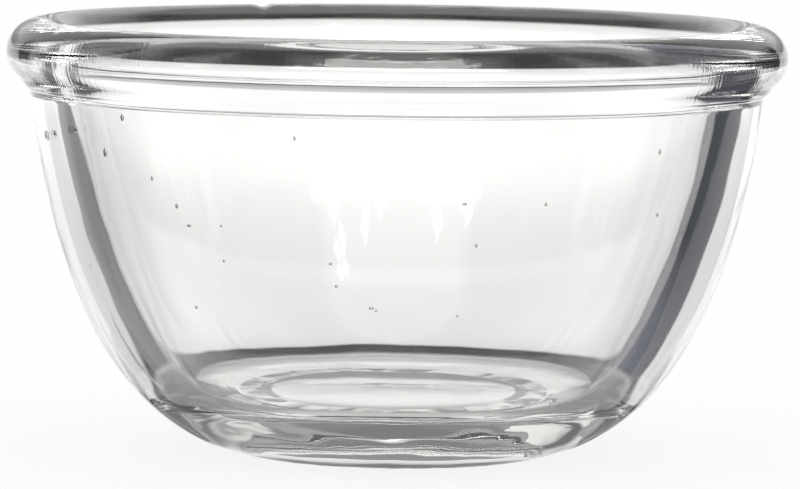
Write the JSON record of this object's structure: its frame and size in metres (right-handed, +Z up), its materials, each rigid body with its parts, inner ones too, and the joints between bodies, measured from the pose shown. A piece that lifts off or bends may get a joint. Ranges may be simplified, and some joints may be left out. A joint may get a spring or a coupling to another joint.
{
  "type": "prep bowl",
  "caption": "Small round prep bowl of thick clear pressed glass, with a rolled bead rim, a narrow collar, a rounded wall and a heavy base on a contact ring round a shallow recess.",
  "frame": {"origin": "on the bowl's axis, in the plane of the ring that it stands on", "axes": "+Z up along the axis of revolution, towards the mouth"},
  "size_m": [0.09, 0.09, 0.0496],
  "materials": {
    "clear_glass": "clear colourless pressed glass, fire polished, with small seeds and faint waves"
  },
  "bodies": {
    "root": {"bowl": "clear_glass"}
  },
  "joints": []
}
